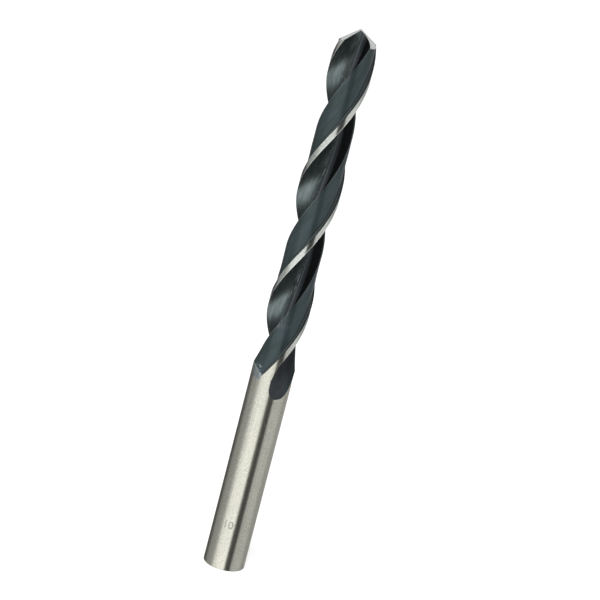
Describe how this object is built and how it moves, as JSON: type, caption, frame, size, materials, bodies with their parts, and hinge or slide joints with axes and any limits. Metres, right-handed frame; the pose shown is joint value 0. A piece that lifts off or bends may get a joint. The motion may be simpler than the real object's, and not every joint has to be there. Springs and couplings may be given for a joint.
{
  "type": "twist drill bit",
  "caption": "Straight-shank twist drill with helical flutes that run out into the shank, ground margins and a relieved conical point.",
  "frame": {"origin": "centre of the flat shank end, on which the drill stands", "axes": "+Z along the drill axis from the shank end to the point; X runs parallel to the two cutting lips, whose right-hand corner is at +X"},
  "size_m": [0.01, 0.01, 0.133],
  "materials": {
    "drill_steel": "ground bright on shank, margins and point, blue-black oxide in the flutes and on the body clearance"
  },
  "bodies": {
    "root": {"twist_drill": "drill_steel"}
  },
  "joints": []
}
